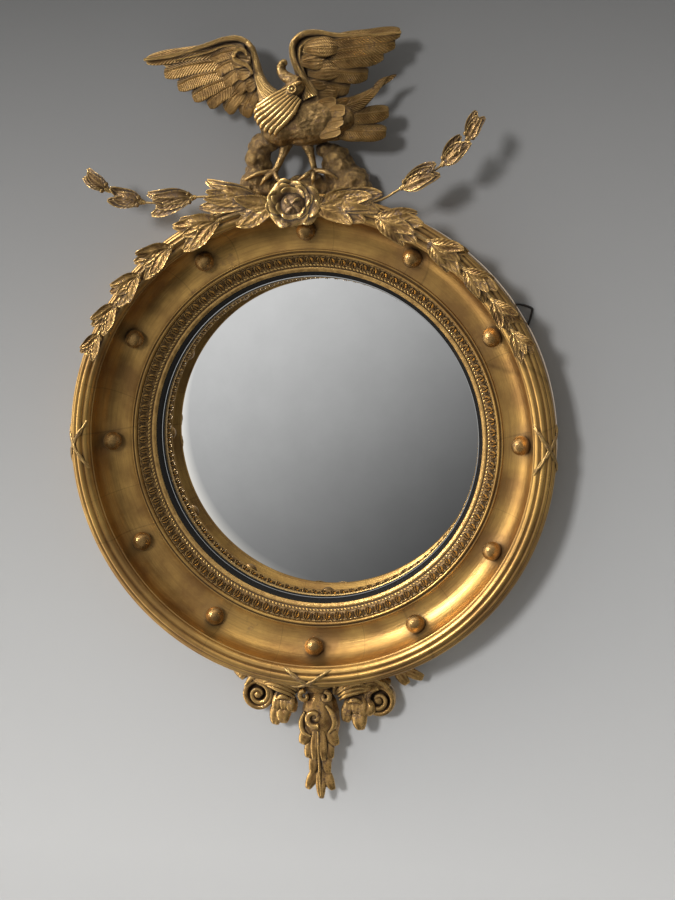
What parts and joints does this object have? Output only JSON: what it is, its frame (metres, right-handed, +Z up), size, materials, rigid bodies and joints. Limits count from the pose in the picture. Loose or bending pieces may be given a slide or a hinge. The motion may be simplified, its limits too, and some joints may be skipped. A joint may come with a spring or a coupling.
{
  "type": "girandole mirror",
  "caption": "Round convex wall mirror in a giltwood frame with a row of balls, an eagle on rockwork above, laurel garlands and a carved acanthus drop below.",
  "frame": {"origin": "centre of the ring on the wall plane, at the back face of the backboard", "axes": "+X right and +Z up as the mirror hangs, -Y out of the wall towards the viewer, +Y into the wall"},
  "size_m": [0.664, 0.137, 1.0462],
  "materials": {
    "gilt_frame": "water-gilt gold leaf over red bole, worn",
    "gilt_band": "gilt composition, dark in the recesses",
    "gilt_balls": "burnished gold leaf, rubbed to the bole",
    "gilt_trim": "gilt composition",
    "gilt_eagle": "gold leaf over carved limewood",
    "gilt_rock": "bronzed gilding over carved limewood",
    "gilt_laurel": "gilt composition on wire",
    "gilt_wire": "dull gilt wire",
    "gilt_carving": "gold leaf over carved limewood",
    "ebonised": "black ebonised beech",
    "mirror_glass": "silvered convex glass",
    "pine": "old bare pine",
    "oak": "old bare oak",
    "black_iron": "black forged iron",
    "iron_nails": "dull iron"
  },
  "bodies": {
    "frame": {"apron_batten": "oak", "apron_block": "gilt_carving", "apron_leaf_left": "gilt_carving", "apron_leaf_right": "gilt_carving", "apron_nails": "iron_nails", "apron_pendant": "gilt_carving", "apron_scroll_left": "gilt_carving", "apron_scroll_right": "gilt_carving", "apron_side_leaf_left": "gilt_carving", "apron_side_leaf_right": "gilt_carving", "backboard": "pine", "backboard_nails": "iron_nails", "crest_batten_left": "oak", "crest_batten_right": "oak", "crest_nails": "iron_nails", "crest_rosette": "gilt_carving", "eagle_body": "gilt_eagle", "eagle_leg_left": "gilt_eagle", "eagle_leg_right": "gilt_eagle", "eagle_tail": "gilt_eagle", "eagle_wing_left": "gilt_eagle", "eagle_wing_right": "gilt_eagle", "ebonised_slip": "ebonised", "frame_balls": "gilt_balls", "frame_ring": "gilt_frame", "garland_leaves_left": "gilt_laurel", "garland_leaves_right": "gilt_laurel", "garland_wire_left": "gilt_wire", "garland_wire_right": "gilt_wire", "glazing_blocks": "pine", "hanger_screws": "iron_nails", "hanger_strap_left": "black_iron", "hanger_strap_right": "black_iron", "leaf_band": "gilt_band", "mirror_plate": "mirror_glass", "ribbon_tie_bottom": "gilt_trim", "ribbon_tie_left": "gilt_trim", "ribbon_tie_right": "gilt_trim", "rockwork": "gilt_rock", "spray_left_cluster_1": "gilt_laurel", "spray_left_cluster_2": "gilt_laurel", "spray_left_cluster_3": "gilt_laurel", "spray_left_cluster_4": "gilt_laurel", "spray_right_cluster_1": "gilt_laurel", "spray_right_cluster_2": "gilt_laurel", "spray_right_cluster_3": "gilt_laurel", "spray_right_cluster_4": "gilt_laurel", "spray_wire_left": "gilt_wire", "spray_wire_right": "gilt_wire"},
    "loop_left": {"hanger_loop_left": "black_iron"},
    "loop_right": {"hanger_loop_right": "black_iron"}
  },
  "joints": [
    {"name": "hanger_loop_left_swing", "type": "hinge", "parent": "frame", "child": "loop_left", "pos_m": [-0.275, -0.0025, 0.155], "axis": [-0.9588, 0, -0.284], "range_deg": [0, 170]},
    {"name": "hanger_loop_right_swing", "type": "hinge", "parent": "frame", "child": "loop_right", "pos_m": [0.275, -0.0025, 0.155], "axis": [-0.9588, 0, 0.284], "range_deg": [0, 170]}
  ]
}
